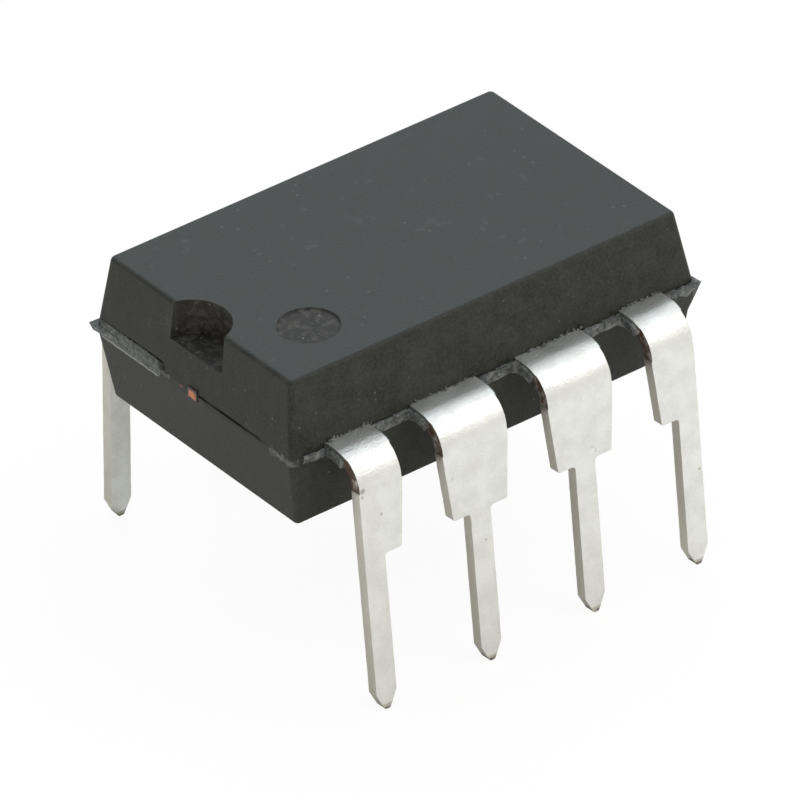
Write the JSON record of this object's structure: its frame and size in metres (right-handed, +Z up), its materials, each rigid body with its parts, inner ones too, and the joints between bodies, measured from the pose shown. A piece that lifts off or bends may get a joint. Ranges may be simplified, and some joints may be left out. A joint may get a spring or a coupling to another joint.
{
  "type": "dual in-line integrated circuit",
  "caption": "Plastic dual in-line integrated circuit package with bent through-hole leads, an end notch and a pin-one dimple, built with its lead frame, die and bond wires.",
  "frame": {"origin": "centre of the package in plan, in the plane of the lead tips", "axes": "+X along the lead rows, away from the notched end; +Y towards the row of leads five to eight; +Z up, out of the marking face"},
  "size_m": [0.01, 0.009, 0.0071],
  "materials": {
    "mould_resin": "matte, fine grain",
    "lead_plating": "matte tin plate over copper alloy",
    "copper": "bare copper alloy",
    "silicon": "polished silicon",
    "die_adhesive": "silver-filled adhesive",
    "gold": "drawn gold wire"
  },
  "bodies": {
    "root": {"moulded_body": "mould_resin", "lead_1": "lead_plating", "lead_2": "lead_plating", "lead_3": "lead_plating", "lead_4": "lead_plating", "lead_5": "lead_plating", "lead_6": "lead_plating", "lead_7": "lead_plating", "lead_8": "lead_plating", "die_paddle": "copper", "die_attach": "die_adhesive", "silicon_die": "silicon", "bond_wire_1": "gold", "bond_wire_2": "gold", "bond_wire_3": "gold", "bond_wire_4": "gold", "bond_wire_5": "gold", "bond_wire_6": "gold", "bond_wire_7": "gold", "bond_wire_8": "gold"}
  },
  "joints": []
}
